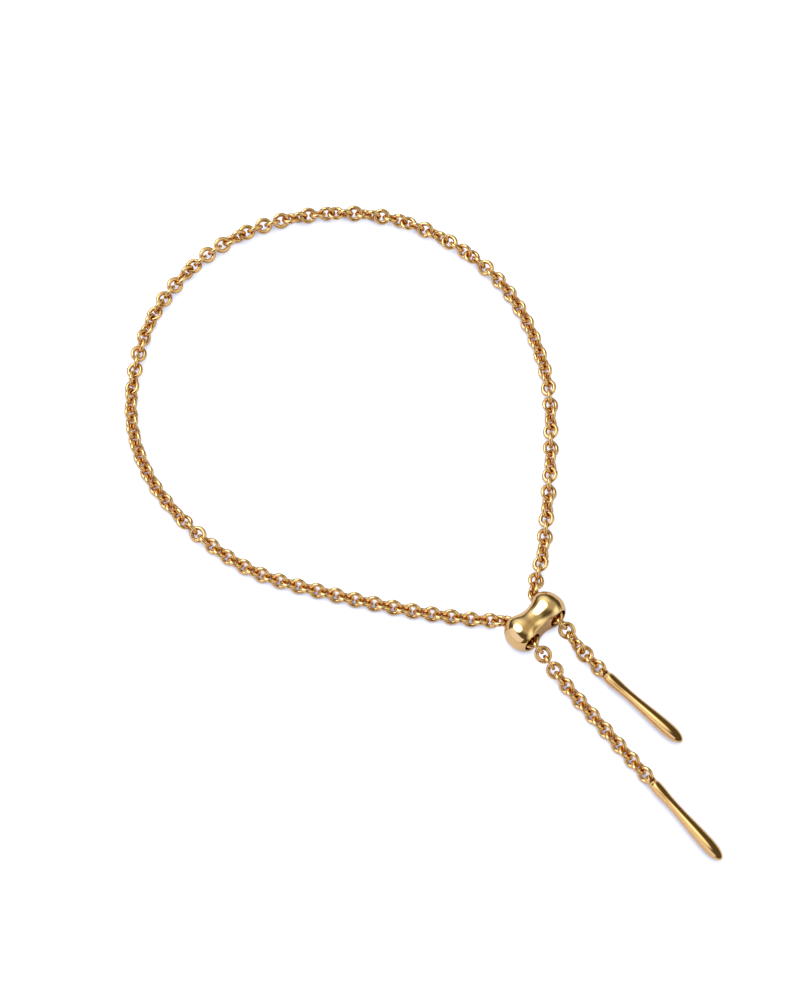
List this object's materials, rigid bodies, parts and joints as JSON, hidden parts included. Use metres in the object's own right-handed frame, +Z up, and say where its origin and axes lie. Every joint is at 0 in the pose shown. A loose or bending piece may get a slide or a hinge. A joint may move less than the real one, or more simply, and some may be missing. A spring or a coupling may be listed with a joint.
{
  "type": "chain slider bracelet",
  "caption": "Fine gold chain bracelet drawn up by a two-hole sliding bead, with a slim drop on each free end.",
  "frame": {"origin": "middle of the footprint, on the surface that the bracelet lies on", "axes": "+X along the sliding bead, +Y along its holes from the free ends towards the wrist loop, +Z up from the surface"},
  "size_m": [0.0648, 0.1232, 0.0051],
  "materials": {
    "slider": "polished yellow gold",
    "chain": "polished yellow gold",
    "drops": "polished yellow gold"
  },
  "bodies": {
    "root": {"slider": "slider", "chain": "chain", "drop_near": "drops", "drop_far": "drops"}
  },
  "joints": []
}
